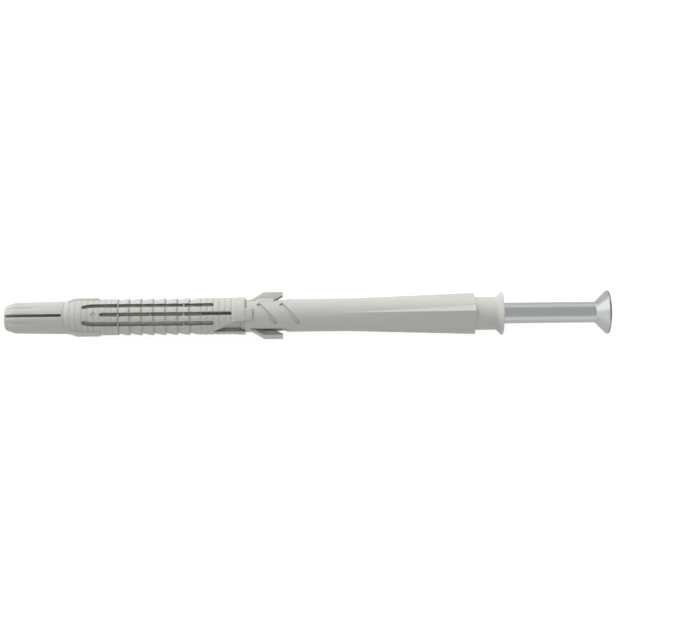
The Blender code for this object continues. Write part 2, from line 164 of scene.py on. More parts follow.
WING_SLIT = 0.38 * MM
WING_SLIT_DEPTH = 0.95 * MM
WING_START = 1.30 * MM
WING_RAMP = 3.8 * MM
WING_EDGE = 5.1 * MM
WING_UNDERCUT = 2.45 * MM
FLAT_REACH = 3.80 * MM
FLAT_RUN_OUT = 0.77
SHOULDER_RADIUS = 5.0 * MM
SHOULDER_START = 2.4 * MM
SHOULDER_LENGTH = 4.2 * MM
SHOULDER_FROM = math.radians(38.0)
SHOULDER_TO = math.radians(58.0)
SHOULDER_PAST = 0.15
SHOULDER_SINK = 0.05 * MM
SIDE_ROOT = BODY_RADIUS * 0.6
SIDE_BEVEL = 0.12 * MM
GROOVE_WIDTH = 1.2 * MM
GROOVE_DEPTH = 0.31 * MM
GROOVE_RUN = 5.1 * MM
GROOVE_REACH = 2.71 * MM
GROOVE_FIRST = 5.98 * MM
GROOVE_SPACING = 6.13 * MM
FLARE_MERIDIAN = math.radians(-1.5)
FLARE_LEDGE_ANGLE = math.radians(49.0)

# Screw
SCREW_LENGTH = 140.0 * MM
SHANK_RADIUS = 2.82 * MM
THREAD_LENGTH = 75.0 * MM
THREAD_PITCH = 3.0 * MM
THREAD_ROOT = 2.35 * MM
THREAD_CREST = 3.20 * MM
THREAD_HALF_FOOT = 0.42 * MM
THREAD_HALF_CREST = 0.07 * MM
THREAD_SINK = 0.15 * MM
THREAD_RUN_OUT = 1.5 * MM
POINT_LENGTH = 5.5 * MM
HEAD_RADIUS = 5.90 * MM
HEAD_RIM = 0.60 * MM
HEAD_EDGE = 0.15 * MM
HEAD_FILLET = 0.70 * MM
RECESS_REACH = 3.60 * MM
RECESS_WIDTH = 1.90 * MM
RECESS_DEPTH = 3.30 * MM
RECESS_TAPER = 0.45
TICK_WIDTH = 0.45 * MM
TICK_DEPTH = 0.30 * MM
TICK_FROM = 2.30 * MM
TICK_TO = 4.60 * MM

# Stations worked out from the lengths
RINGS_START = NOSE_LENGTH
TEETH_START = RINGS_START + LEAD_RINGS * RING_PITCH
TAIL_START = TEETH_START + TEETH * 2 * RING_PITCH
BAND_START = TAIL_START + TAIL_RINGS * RING_PITCH
NECK_START = BAND_START + BAND_LENGTH
SLEEVE_START = NECK_START + NECK_LENGTH
FLARE_END = PLUG_LENGTH - SEAT_LENGTH
FLARE_START = FLARE_END - FLARE_LENGTH
SCREW_POINT = TOTAL_LENGTH - SCREW_LENGTH
BORE_FULL = SCREW_POINT - 0.32 * MM
FRONT_END = SLEEVE_START + 8.0 * MM
AXIS_HEIGHT = (cad_size[0].z + cad_size[1].z) / 2.0
NOSE_IN_ROW_FRAME = Vector((-TOTAL_LENGTH / 2.0, 0.0, AXIS_HEIGHT))

# How far a cut runs past the surface, and an added body into it
PAST = 2.0 * MM
BURY = 0.40 * MM

# Colours, which are linear
NYLON_COLOUR = (0.605, 0.612, 0.577, 1.0)
# Painted shade: the nylon turns to this darker, browner colour where ambient occlusion finds
# crevices
NYLON_PAINTED_SHADE_COLOUR = (0.420, 0.405, 0.360, 1.0)
ZINC_COLOUR = (0.560, 0.582, 0.575, 1.0)
# Painted shade: a dark band of the zinc round the head's rim
ZINC_RIM_SHADE_COLOUR = (0.33, 0.335, 0.335, 1.0)

# Light
KEY_STRENGTH = 2.06
KEY_SPREAD = math.radians(40.0)
KEY_RISE = math.radians(21.0)
KEY_TURN = math.radians(34.0)
GLINT_STRENGTH = 0.50
GLINT_SPREAD = math.radians(70.0)
GLINT_SOURCE = Vector((-0.75, 0.60, 0.20))
WORLD_STRENGTH = 0.59
FLOOR_GLOW = 0.53
FLOOR_GLOW_FOR_CAMERA = 0.33
FLOOR_REACH = 2.5
FLOOR_GAP = 0.05 * MM

# Camera, as measured in pixels of the frame
FRAME_WIDTH = 680
FOCAL_PIXELS = 1500.0
SCALE_PIXELS = 3.675
NOSE_COLUMN = 5.9
CENTRE_COLUMN = 305.0
CENTRE_ROW_RISE = -0.2
CAMERA_ELEVATION = math.radians(80.0)
CAMERA_ROLL = math.radians(0.61)


def on_meridian(station, angle, radius):
    """The point at a station, a meridian and a distance from the axis."""
    return Vector((station, radius * math.sin(angle), radius * math.cos(angle)))


def half_turn(sections):
    """The same sections turned half a turn about the axis."""
    return [[Vector((p.x, -p.y, -p.z)) for p in section] for section in sections]


def turned(bodies):
    """Bodies turned a little about the axis, with the row of slots."""
    turn = Matrix.Rotation(-SLOT_TURN, 3, "X")
    return [[[turn @ point for point in section] for section in body] for body in bodies]


def add_loft(mesh, sections, capped=True):
    """Skin a row of sections with equal point counts."""
    rows = [[mesh.verts.new(point) for point in section] for section in sections]
    count = len(rows[0])
    faces = []
    for row, following in zip(rows, rows[1:]):
        for i in range(count):
            j = (i + 1) % count
            faces.append(mesh.faces.new((row[i], row[j], following[j], following[i])))
    if capped:
        faces.append(mesh.faces.new(list(reversed(rows[0]))))
        faces.append(mesh.faces.new(rows[-1]))
        bmesh.ops.recalc_face_normals(mesh, faces=faces)
    return faces


def circle(station, radius, count=ROUND, phase=0.0):
    """A ring of evenly spaced points that starts on the first ledge's meridian."""
    step = 2.0 * math.pi / count
    return [on_meridian(station, FLARE_MERIDIAN + (i + phase) * step, radius)
            for i in range(count)]


def add_object(name, data):
    """A new object of the scene that holds a mesh, a lamp or a camera."""
    made = bpy.data.objects.new(name, data)
    bpy.context.scene.collection.objects.link(made)
    return made


def add_mesh(name, mesh):
    """Turn a bmesh into an object of the scene."""
    data = bpy.data.meshes.new(name)
    mesh.to_mesh(data)
    mesh.free()
    return add_object(name, data)


def link_mesh(name, mesh):
    """Turn a bmesh in the axis frame into an object in the row frame."""
    mesh.transform(Matrix.Translation(NOSE_IN_ROW_FRAME))
    return add_mesh(name, mesh)


def build_tools(group, bodies, bevel=0.0):
    """One object for each body, in a collection that a Boolean can use."""
    collection = bpy.data.collections.new(group)
    for number, body in enumerate(bodies):
        mesh = bmesh.new()
        add_loft(mesh, body)
        if bevel:
            edges = [e for e in mesh.edges if e.calc_face_angle() > math.radians(20.0)]
            bmesh.ops.bevel(mesh, geom=edges, offset=bevel, segments=2, profile=0.5,
                            affect="EDGES", clamp_overlap=True)
        tool = link_mesh(f"{group}_{number}", mesh)
        bpy.context.scene.collection.objects.unlink(tool)
        collection.objects.link(tool)
    return collection


def combine(target, operation, collection):
    """Add one exact Boolean step with all the bodies of a collection."""
    step = target.modifiers.new(collection.name, "BOOLEAN")
    step.operation = operation
    step.solver = "EXACT"
    step.operand_type = "COLLECTION"
    step.collection = collection


def bake(target):
    """Replace an object's mesh by what its modifiers make of it."""
    graph = bpy.context.evaluated_depsgraph_get()
    graph.update()
    result = bpy.data.meshes.new_from_object(target.evaluated_get(graph))
    tools = [m.collection for m in target.modifiers if m.type == "BOOLEAN"]
    target.modifiers.clear()
    target.data = result
    for collection in tools:
        for tool in list(collection.objects):
            bpy.data.objects.remove(tool, do_unlink=True)
        bpy.data.collections.remove(collection)


def shade(target, angle=28.0):
    """Smooth shading with crisp edges above an angle."""
    target.data.shade_smooth()
    target.data.set_sharp_from_angle(angle=math.radians(angle))


def prism(outline, low, high):
    """An outline of (station, y) points, raised from one height to another."""
    return [[Vector((s, y, z)) for s, y in outline] for z in (low, high)]


def patch(start, end, angle_from, angle_to, inner, outer, steps=10):
    """A block that follows the plug's round between two stations and meridians."""
    angles = [angle_from + (angle_to - angle_from) * i / steps for i in range(steps + 1)]
    section = [(a, outer) for a in angles] + [(a, inner) for a in reversed(angles)]
    return [[on_meridian(s, a, r) for a, r in section] for s in (start, end)]


def channel(line, width, radius, wall=1.0):
    """A round-ended channel cut straight down, with a floor that follows a round.

    The line holds (station, y) points; the floor is never lower than SLOT_FLOOR, and
    wall is the share of the width that is left at the floor.
    """
    half = width / 2.0
    points = [Vector(p) for p in line]
    lengths = [(b - a).length for a, b in zip(points, points[1:])]
    total = sum(lengths)
    turns = [math.radians(a) for a in (6.0, 20.0, 38.0, 56.0, 74.0)]
    marks = [(half * (1.0 - math.cos(a)), half * math.sin(a)) for a in turns]
    walked = [sum(lengths[:i]) for i in range(len(points))]
    middle = [(d, half) for d in walked if half < d < total - half]
    stops = marks + middle + [(total - d, h) for d, h in reversed(marks)]
    sections = []
    for distance, reach in stops:
        i = max(k for k in range(len(lengths)) if walked[k] <= distance)
        along = (points[i + 1] - points[i]) / lengths[i]
        centre = points[i] + along * (distance - walked[i])
        side = Vector((-along.y, along.x)) * reach
        low = []
        for spot in (centre - side * wall, centre + side * wall):
            height = math.sqrt(max(radius ** 2 - spot.y ** 2, SLOT_FLOOR ** 2))
            low.append(Vector((spot.x, spot.y, height)))
        high = [Vector((spot.x, spot.y, BAND_RADIUS + PAST))
                for spot in (centre + side, centre - side)]
        sections.append(low + high)
    return sections


def smooth_step(value):
    """A soft ramp from 0 to 1."""
    value = min(1.0, max(0.0, value))
    return value * value * (3.0 - 2.0 * value)


def ring_outline():
    """The nose, the rings, the ratchet teeth and the band, as (station, radius)."""
    points = [
        (0.0, NOSE_END_RADIUS),
        (0.10 * MM, NOSE_END_RADIUS + 0.18 * MM),
        (0.28 * MM, NOSE_EDGE_RADIUS - 0.16 * MM),
        (0.70 * MM, NOSE_EDGE_RADIUS),
        (1.15 * MM, NOSE_EDGE_RADIUS + 0.18 * MM),
        (2.30 * MM, NOSE_FRONT_RADIUS - 0.10 * MM),
        (2.65 * MM, NOSE_FRONT_RADIUS - 0.01 * MM),
        (3.10 * MM, NOSE_FRONT_RADIUS + 0.02 * MM),
    ]
    steps = 12
    for i in range(1, steps + 1):
        share = i / steps
        station = 3.10 * MM + (RINGS_START - 3.40 * MM) * share
        rise = NOSE_BACK_RADIUS - NOSE_FRONT_RADIUS - 0.02 * MM
        points.append((station, NOSE_FRONT_RADIUS + 0.02 * MM + rise * share))
    for i in range(LEAD_RINGS):
        start = RINGS_START + i * RING_PITCH
        for u in (0.0, 0.05, 0.11, 0.18, 0.30, 0.70, 0.82, 0.89, 0.95):
            rise = min(1.0, (i + u) / 2.4)
            crest = NOSE_BACK_RADIUS + (RING_RADIUS - NOSE_BACK_RADIUS) * rise
            points.append((start + u * RING_PITCH, crest - RING_DEPTH * abs(2 * u - 1) ** 6))
    for i in range(TEETH):
        start = TEETH_START + i * 2 * RING_PITCH
        for u in (0.0, 0.03, 0.10, 0.22, 0.36, 0.50, 0.64, 0.76, 0.84, 0.88, 0.905, 0.935, 0.97):
            if u <= 0.88:
                share = 1.0 - (1.0 - u / 0.88) ** 1.6
            else:
                share = 1.0 - smooth_step((u - 0.88) / 0.10)
            drop = TOOTH_DEPTH * (1.0 - share)
            if i == TEETH - 1 and u > 0.88:
                drop = min(drop, TAIL_RING_DEPTH)
            points.append((start + u * 2 * RING_PITCH, TOOTH_RADIUS - drop))
    for i in range(TAIL_RINGS):
        start = TAIL_START + i * RING_PITCH
        for u in (0.0, 0.04, 0.10, 0.18, 0.30, 0.50, 0.70, 0.82, 0.90, 0.96):
            drop = TAIL_RING_DEPTH * abs(2 * u - 1) ** 4
            points.append((start + u * RING_PITCH, TOOTH_RADIUS - drop))
    points += [
        (BAND_START, TOOTH_RADIUS - TAIL_RING_DEPTH),
        (BAND_START + 0.08 * MM, TOOTH_RADIUS - 0.6 * RING_DEPTH),
        (BAND_START + 0.25 * MM, TOOTH_RADIUS),
        (BAND_START + 1.45 * MM, TOOTH_RADIUS + 0.01 * MM),
        (BAND_START + 1.52 * MM, BAND_RADIUS - 0.03 * MM),
        (BAND_START + 1.60 * MM, BAND_RADIUS),
        (NECK_START - 0.06 * MM, BAND_RADIUS),
        (NECK_START, BAND_RADIUS - 0.06 * MM),
        (NECK_START, BODY_RADIUS + 0.04 * MM),
        (NECK_START + 0.05 * MM, BODY_RADIUS),
        (NECK_START + 3.0 * MM, BODY_RADIUS),
        (SLEEVE_START, BODY_RADIUS),
        (FRONT_END, BODY_RADIUS),
    ]
    return points


def nose_section(station, radius):
    """A ring of the nose, with soft shallow flutes that fade out at both ends."""
    fade = smooth_step(2.0 - 2.0 * station / FLUTE_LENGTH) * smooth_step(station / FLUTE_START)
    half_pitch = math.pi / FLUTES
    section = []
    for i in range(ROUND):
        angle = FLARE_MERIDIAN + 2.0 * math.pi * i / ROUND
        off = (angle + half_pitch) % (2.0 * half_pitch) - half_pitch
        dip = FLUTE_DEPTH * fade * math.exp(-((off / FLUTE_WIDTH) ** 2))
        section.append(on_meridian(station, angle, radius - dip))
    return section


def flare_section(station, share):
    """One section of the ratchet flare: ledges that rise from the round body."""
    base = BODY_RADIUS + FLARE_DRAFT * share
    crest = base + (FLARE_CREST_RADIUS - BODY_RADIUS - FLARE_DRAFT) * share
    quarter = math.pi / 2.0
    flank_angle = math.acos(base / crest)
    foot_angle = abs(math.asin(crest / base * math.sin(FLARE_LEDGE_ANGLE)) - FLARE_LEDGE_ANGLE)
    edge = 0.10 * MM * share
    ledge_steps = 5
    flank_steps = 11
    arc_steps = PER_LEDGE - ledge_steps - flank_steps - 2
    section = []
    for ledge in range(4):
        start = FLARE_MERIDIAN + ledge * quarter
        top = on_meridian(station, start, crest)
        foot = on_meridian(station, start + foot_angle, base)
        leave = start + quarter - flank_angle
        tangent = on_meridian(station, leave, base)
        before = on_meridian(station, start - flank_angle, base)
        following = on_meridian(station, start + quarter, crest)
        near_ledge = top + (foot - top).normalized() * edge
        near_flank = top + (before - top).normalized() * edge
        section.append(top.lerp((near_ledge + near_flank) / 2.0, 0.5))
        section.append(near_ledge)
        for i in range(1, ledge_steps + 1):
            section.append(near_ledge.lerp(foot, i / ledge_steps))
        for i in range(1, arc_steps + 1):
            angle = start + foot_angle + (leave - start - foot_angle) * i / arc_steps
            section.append(on_meridian(station, angle, base))
        last = following + (tangent - following).normalized() * edge
        for i in range(1, flank_steps + 1):
            section.append(tangent.lerp(last, i / flank_steps))
    return section


def at_radius(section, station, radius):
    """The points of a section, moved to another station and radius on their meridians."""
    return [on_meridian(station, math.atan2(p.y, p.z), radius) for p in section]


def front_skin():
    """The outside of the plug's front half, before anything is cut or added."""
    sections = []
    for station, radius in ring_outline():
        if station < FLUTE_LENGTH:
            sections.append(nose_section(station, radius))
        else:
            sections.append(circle(station, radius))
    mesh = bmesh.new()
    add_loft(mesh, sections)
    return link_mesh("plug_front", mesh)


def rear_skin():
    """The sleeve, the flare and the collar, inside and out, as one open tube."""
    sections = [circle(FRONT_END, BODY_RADIUS), circle(FLARE_START - MM, BODY_RADIUS)]
    for i in range(FLARE_STATIONS):
        share = max(0.02, i / (FLARE_STATIONS - 1))
        station = FLARE_START + FLARE_LENGTH * i / (FLARE_STATIONS - 1)
        sections.append(flare_section(station, share))
    last = sections.pop()
    sections.append(flare_section(FLARE_END - 0.07 * MM, 1.0 - 0.07 * MM / FLARE_LENGTH))
    sections.append([p + Vector((0.0, -p.y, -p.z)) * 0.012 for p in last])
    sections.append(at_radius(last, FLARE_END, SEAT_RADIUS + 0.03 * MM))
    sections.append(at_radius(last, FLARE_END + 0.06 * MM, SEAT_RADIUS))
    cone = COLLAR_RADIUS - SEAT_RADIUS
    cone_start = PLUG_LENGTH - COLLAR_RIM - cone
    mouth = COLLAR_RADIUS - COLLAR_LIP
    outline = [
        (FLARE_END + 1.2 * MM, SEAT_RADIUS),
        (cone_start - 0.12 * MM, SEAT_RADIUS),
        (cone_start + 0.06 * MM, SEAT_RADIUS + 0.09 * MM),
        (cone_start + cone - 0.10 * MM, COLLAR_RADIUS - 0.10 * MM),
        (cone_start + cone - 0.01 * MM, COLLAR_RADIUS - 0.02 * MM),
        (cone_start + cone + 0.06 * MM, COLLAR_RADIUS),
        (PLUG_LENGTH - 0.08 * MM, COLLAR_RADIUS - 0.01 * MM),
        (PLUG_LENGTH, COLLAR_RADIUS - 0.09 * MM),
        (PLUG_LENGTH, mouth + 0.05 * MM),
        (PLUG_LENGTH - 0.05 * MM, mouth - 0.03 * MM),
        (PLUG_LENGTH - (mouth - BORE_RADIUS), BORE_RADIUS + 0.03 * MM),
        (PLUG_LENGTH - (mouth - BORE_RADIUS) - 0.10 * MM, BORE_RADIUS),
        (FRONT_END, BORE_RADIUS),
    ]
    sections += [circle(s, r) for s, r in outline]
    mesh = bmesh.new()
    add_loft(mesh, sections, capped=False)
    bmesh.ops.recalc_face_normals(mesh, faces=mesh.faces)
    return link_mesh("plug_rear", mesh)


def pocket_bodies():
    """The wedge pockets in the band and the flats behind the wings, on both sides."""
    outside = WING_REACH
    tip = (BAND_START - POCKET_RUN, POCKET_TIP)
    pocket = []
    for station, edge in (tip, (BAND_START + POCKET_LEAD, POCKET_EDGE), (NECK_START, POCKET_EDGE)):
        outline = [
            (edge, outside),
            (edge, POCKET_FLOOR),
            (POCKET_WALL, POCKET_FLOOR),
            (POCKET_WALL, POCKET_SHELF),
            (outside, POCKET_SHELF),
            (outside, outside),
        ]
        pocket.append([Vector((station, -y, z)) for y, z in outline])
    start = NECK_START + WING_START
    flat = [
        (start + BURY / 10.0, -FLAT_REACH),
        (SLEEVE_START, -FLAT_REACH),
        (SLEEVE_START + (outside - FLAT_REACH) * FLAT_RUN_OUT, -outside),
        (start + WING_RAMP * 0.93, -outside),
    ]
    bodies = [pocket, prism(flat, -FLAT_REACH, FLAT_REACH)]
    return bodies + [half_turn(body) for body in bodies]


def pad_outline():
    """Outline of a side pad on the bulge."""
    pad_start = RINGS_START + PAD_START
    pad_end = RINGS_START + PAD_LENGTH
    return [
        (pad_start, SIDE_ROOT),
        (pad_start, NOSE_BACK_RADIUS * 0.92),
        (pad_start + PAD_RAMP, PAD_REACH),
        (pad_end, PAD_REACH),
        (pad_end, SIDE_ROOT),
    ]


def wing_sections():
    """One locking wing, with a trough in its underside behind a bevelled rim.

    The trough is deepest in a narrow slit beside the plug's flat.
    """
    start = NECK_START + WING_START
    ramp_end = start + WING_RAMP
    low_reach = FLAT_REACH - 0.02 * MM
    profile = ((start, low_reach), (ramp_end, WING_REACH), (ramp_end + WING_EDGE, WING_REACH))
    sections = []
    for station, reach in profile:
        rim = reach - WING_RIM
        slit = min(FLAT_REACH + WING_SLIT, rim - BURY / 8.0)
        outline = [
            (SIDE_ROOT, WING_RISE),
            (reach, WING_RISE),
            (reach, WING_BEVEL - WING_DROP),
            (rim, -WING_DROP),
            (rim, -WING_FLOOR),
            (slit, -WING_FLOOR),
            (slit, WING_SLIT_DEPTH - WING_FLOOR),
            (SIDE_ROOT, WING_SLIT_DEPTH - WING_FLOOR),
        ]
        sections.append([Vector((station, y, z)) for y, z in outline])
    return sections


def undercut_bodies():
    """What is cut away behind each wing, between its slanted back and the flat."""
    back = NECK_START + WING_START + WING_RAMP + WING_EDGE
    near = FLAT_REACH + 0.005 * MM
    outline = [
        (back - WING_UNDERCUT, near),
        (back, WING_REACH - WING_TIP),
        (back + 0.3 * MM, WING_REACH - WING_TIP),
        (back + 0.3 * MM, near),
    ]
    body = prism(outline, -FLAT_REACH, FLAT_REACH)
    return [body, half_turn(body)]


def side_bodies():
    """Pads on the bulge, tabs on the neck and the two locking wings."""
    bodies = [
        prism(pad_outline(), -PAD_HALF_HEIGHT, PAD_HALF_HEIGHT),
        wing_sections(),
        patch(NECK_START - BURY, NECK_START + TAB_LENGTH, TAB_FROM, TAB_TO,
              BODY_RADIUS - BURY, BODY_RADIUS + TAB_HEIGHT),
    ]
    return bodies + [half_turn(body) for body in bodies]


def shoulder_bodies():
    """The shoulders that carry the body's round up to the roots of the wings."""
    start = NECK_START + WING_START + SHOULDER_START
    low = BODY_RADIUS - SHOULDER_SINK
    steps = 8
    rise = [(SHOULDER_FROM, BODY_RADIUS - BURY)]
    for i in range(steps + 1):
        share = i / steps
        height = (SHOULDER_RADIUS - BODY_RADIUS + SHOULDER_SINK) * smooth_step(share)
        angle = SHOULDER_FROM + (SHOULDER_TO - SHOULDER_FROM) * share
        rise.append((angle, low + height))
    rise.append((SHOULDER_TO + SHOULDER_PAST, SHOULDER_RADIUS))
    rise.append((SHOULDER_TO + SHOULDER_PAST, BODY_RADIUS - BURY))
    sections = []
    for along, fade in ((-0.9 * MM, 0.0), (-0.3 * MM, 0.75), (0.3 * MM, 1.0),
                        (SHOULDER_LENGTH, 1.0)):
        sections.append([
            on_meridian(start + along, a, r if r < low else low + (r - low) * fade)
            for a, r in rise
        ])
    return [sections, half_turn(sections)]


def core_bodies():
    """The core that shows at the bottom of the wedge pockets, flattened on both sides."""
    sections = []
    for station in (TAIL_START + RING_PITCH, NECK_START + BURY):
        ring = circle(station, CORE_RADIUS, 96, 0.3)
        sections.append([Vector((p.x, max(-CORE_FLAT, min(CORE_FLAT, p.y)), p.z)) for p in ring])
    step = [circle(s, POCKET_STEP_RADIUS, 96, 0.15)
            for s in (NECK_START - POCKET_STEP, NECK_START + BURY / 2.0)]
    return [sections, step]


def slot_bodies():
    """The six long slots, the split that opens the nose and a small round mark."""
    middle_start = RINGS_START + 6 * RING_PITCH
    pair_start = RINGS_START + 3 * RING_PITCH
    pair_end = TAIL_START + RING_PITCH * 0.2
    shallow_start = TAIL_START - SLOT_WIDTH * 0.5
    shallow_end = TAIL_START + 2 * RING_PITCH
    bodies = [
        channel([(middle_start, 0.0), (BAND_START, 0.0)], SLOT_WIDTH, SLOT_BED),
        channel([(TAIL_START, 0.0), (BAND_START - BURY / 2.0, 0.0)], SLOT_WIDTH * 0.5,
                NOSE_BORE_RADIUS),
    ]
    for sign in (-1, 1):
        hook = []
        for i in range(9):
            share = i / 8
            drop = SLOT_HOOK * (1.0 - smooth_step(share * 1.1))
            hook.append((pair_start + 2.0 * RING_PITCH * share, sign * (SLOT_OFFSET - drop)))
        hook.append((pair_end, sign * SLOT_OFFSET))
        bodies.append(channel(hook, SLOT_WIDTH, SLOT_SIDE_BED))
        line = [(shallow_start, sign * SLOT_OFFSET), (shallow_end, sign * SLOT_OFFSET)]
        bodies.append(channel(line, SLOT_WIDTH * 0.98, TOOTH_RADIUS - SLOT_END_DEPTH))
    half = SPLIT_WIDTH / 2.0
    split_end = RINGS_START - RING_PITCH * 0.4
    split = [(-PAST, -half), (split_end, -half), (split_end, half), (-PAST, half)]
    bodies.append(prism(split, SPLIT_FLOOR, BAND_RADIUS + PAST))
    disc = []
    for i in range(24):
        angle = 2.0 * math.pi * i / 24
        disc.append((MARK_STATION + MARK_RADIUS * math.cos(angle), MARK_RADIUS * math.sin(angle)))
    bodies.append(prism(disc, RING_RADIUS - RING_DEPTH - MARK_DEPTH, BAND_RADIUS + PAST))
    return bodies + [half_turn(body) for body in bodies]


def groove_bodies():
    """The oblique grooves across the neck, and the same on the other side."""
    steps = 16
    bodies = []
    for number in range(2):
        centre = NECK_START + GROOVE_FIRST + number * GROOVE_SPACING
        line = []
        for i in range(steps + 1):
            share = i / steps - 0.5
            line.append((centre + GROOVE_RUN * share, -2.0 * GROOVE_REACH * share))
        body = channel(line, GROOVE_WIDTH, BODY_RADIUS - GROOVE_DEPTH, 0.92)
        bodies += [body, half_turn(body)]
    return bodies


def bore_bodies():
    """The bore of the front half, with a narrow nose."""
    outline = [
        (-PAST, NOSE_BORE_RADIUS),
        (BORE_FULL - BORE_TAPER_LENGTH, NOSE_BORE_RADIUS),
        (BORE_FULL, BORE_RADIUS),
        (FRONT_END, BORE_RADIUS),
        (FRONT_END + PAST, BORE_RADIUS),
    ]
    return [[circle(s, r) for s, r in outline]]


def web_bodies():
    """Thin webs that bridge the slots below the surface."""
    reach = SLOT_WIDTH / 2.0 + BURY / 4.0
    half = WEB_THICKNESS / 2.0
    zone = TAIL_START - TEETH_START
    stations = [TEETH_START, TEETH_START + zone * 0.39, TEETH_START + zone * 0.785]
    bodies = []
    for number, station in enumerate(stations):
        offsets = (0.0,) if number == 1 else (-SLOT_OFFSET, 0.0, SLOT_OFFSET)
        for y in offsets:
            top = math.sqrt((TOOTH_RADIUS - WEB_SINK) ** 2 - y ** 2)
            low = math.sqrt(BORE_RADIUS ** 2 - max(abs(y) - reach, 0.0) ** 2)
            corners = [(station - half, y - reach), (station + half, y - reach),
                       (station + half, y + reach), (station - half, y + reach)]
            web = prism(corners, low, top)
            bodies += [web, half_turn(web)]
    return bodies


def join_halves(front, rear, webs):
    """Weld the two halves of the plug at their common ring, and add the webs."""
    mesh = bmesh.new()
    mesh.from_mesh(front.data)
    middle = FRONT_END + NOSE_IN_ROW_FRAME.x
    end_faces = [f for f in mesh.faces if all(abs(v.co.x - middle) < 1e-6 for v in f.verts)]
    bmesh.ops.delete(mesh, geom=end_faces, context="FACES")
    mesh.from_mesh(rear.data)
    seam = [v for v in mesh.verts if abs(v.co.x - middle) < 1e-6]
    bmesh.ops.remove_doubles(mesh, verts=seam, dist=0.01 * MM)
    for web in webs:
        add_loft(mesh, [[p + NOSE_IN_ROW_FRAME for p in section] for section in web])
    plug = add_mesh("plug_moulding", mesh)
    for half in (front, rear):
        bpy.data.objects.remove(half, do_unlink=True)
    return plug


def build_plug():
    """The one-piece plug with its fine detail."""
    front = front_skin()
    steps = (
        ("DIFFERENCE", "pocket", pocket_bodies(), 0.0),
        ("UNION", "core", core_bodies(), 0.0),
        ("UNION", "side", side_bodies(), SIDE_BEVEL),
        ("UNION", "shoulder", shoulder_bodies(), 0.0),
        ("DIFFERENCE", "undercut", undercut_bodies(), 0.0),
        ("DIFFERENCE", "slot", turned(slot_bodies() + groove_bodies()), 0.0),
        ("DIFFERENCE", "bore", bore_bodies(), 0.0),
    )
    for operation, group, bodies, bevel in steps:
        combine(front, operation, build_tools(group, bodies, bevel))
    bake(front)
    plug = join_halves(front, rear_skin(), turned(web_bodies()))
    shade(plug)
    return plug


def screw_outline():
    """Half outline of the screw, from its point to its head."""
    rim_end = SCREW_LENGTH - HEAD_EDGE
    cone_end = SCREW_LENGTH - HEAD_RIM
    cone_start = cone_end - (HEAD_RADIUS - SHANK_RADIUS)
    points = [
        (0.0, 0.05 * MM),
        (0.25 * MM, 0.22 * MM),
        (POINT_LENGTH * 0.9, THREAD_ROOT * 0.93),
        (POINT_LENGTH * 1.1, THREAD_ROOT),
        (THREAD_LENGTH - 0.3 * MM, THREAD_ROOT),
        (THREAD_LENGTH + 0.1 * MM, THREAD_ROOT + 0.04 * MM),
        (THREAD_LENGTH + 1.2 * MM, SHANK_RADIUS - 0.04 * MM),
        (THREAD_LENGTH + 1.6 * MM, SHANK_RADIUS),
    ]
    reach = HEAD_FILLET * math.tan(math.radians(22.5))
    for i in range(7):
        angle = math.radians(45.0) * i / 6
        along = cone_start - reach + HEAD_FILLET * math.sin(angle)
        points.append((along, SHANK_RADIUS + HEAD_FILLET * (1.0 - math.cos(angle))))
    points += [
        (cone_end - 0.06 * MM, HEAD_RADIUS - 0.06 * MM),
        (cone_end + 0.02 * MM, HEAD_RADIUS - 0.01 * MM),
        (cone_end + 0.10 * MM, HEAD_RADIUS),
        (rim_end - 0.02 * MM, HEAD_RADIUS),
        (rim_end + 0.08 * MM, HEAD_RADIUS - 0.04 * MM),
        (SCREW_LENGTH, HEAD_RADIUS - HEAD_EDGE),
    ]
    return [(SCREW_POINT + s, r) for s, r in points]


def cross_section(station, scale):
    """A cross with four arms, across the screw's axis."""
    reach = RECESS_REACH * scale
    half = RECESS_WIDTH / 2.0 * (0.5 + scale / 2.0)
    waist = half * 1.25
    quarter = [
        (reach * 0.985, -half * 0.55), (reach, -half * 0.2), (reach, half * 0.2),
        (reach * 0.985, half * 0.55), (reach * 0.94, half),
        (waist, half * 1.08), (half * 1.16, half * 1.16), (half * 1.08, waist),
        (half, reach * 0.94),
    ]
    section = []
    for c, s in ((1, 0), (0, 1), (-1, 0), (0, -1)):
        for y, z in quarter[:-1]:
            section.append(Vector((station, y * c - z * s, y * s + z * c)))
    return section


def recess_bodies():
    """The cross recess in the head."""
    per_depth = (1.0 - RECESS_TAPER) / RECESS_DEPTH
    above = TICK_DEPTH
    face = TOTAL_LENGTH
    return [[
        cross_section(face + above, 1.0 + per_depth * above),
        cross_section(face - RECESS_DEPTH, RECESS_TAPER),
        cross_section(face - RECESS_DEPTH * 1.12, RECESS_TAPER * 0.25),
    ]]


def tick_bodies():
    """Four thin radial ticks, midway between the arms of the cross."""
    bodies = []
    for quarter in range(4):
        angle = math.radians(45.0 + 90.0 * quarter)
        along = Vector((0.0, math.cos(angle), math.sin(angle)))
        across = Vector((0.0, -math.sin(angle), math.cos(angle))) * (TICK_WIDTH / 2.0)
        sections = []
        for station, spread in ((-TICK_DEPTH, 0.3), (TICK_DEPTH, 1.0)):
            base = Vector((TOTAL_LENGTH + station, 0.0, 0.0))
            sections.append([
                base + along * TICK_FROM - across * spread,
                base + along * TICK_TO - across * spread,
                base + along * TICK_TO + across * spread,
                base + along * TICK_FROM + across * spread,
            ])
        bodies.append(sections)
    return bodies


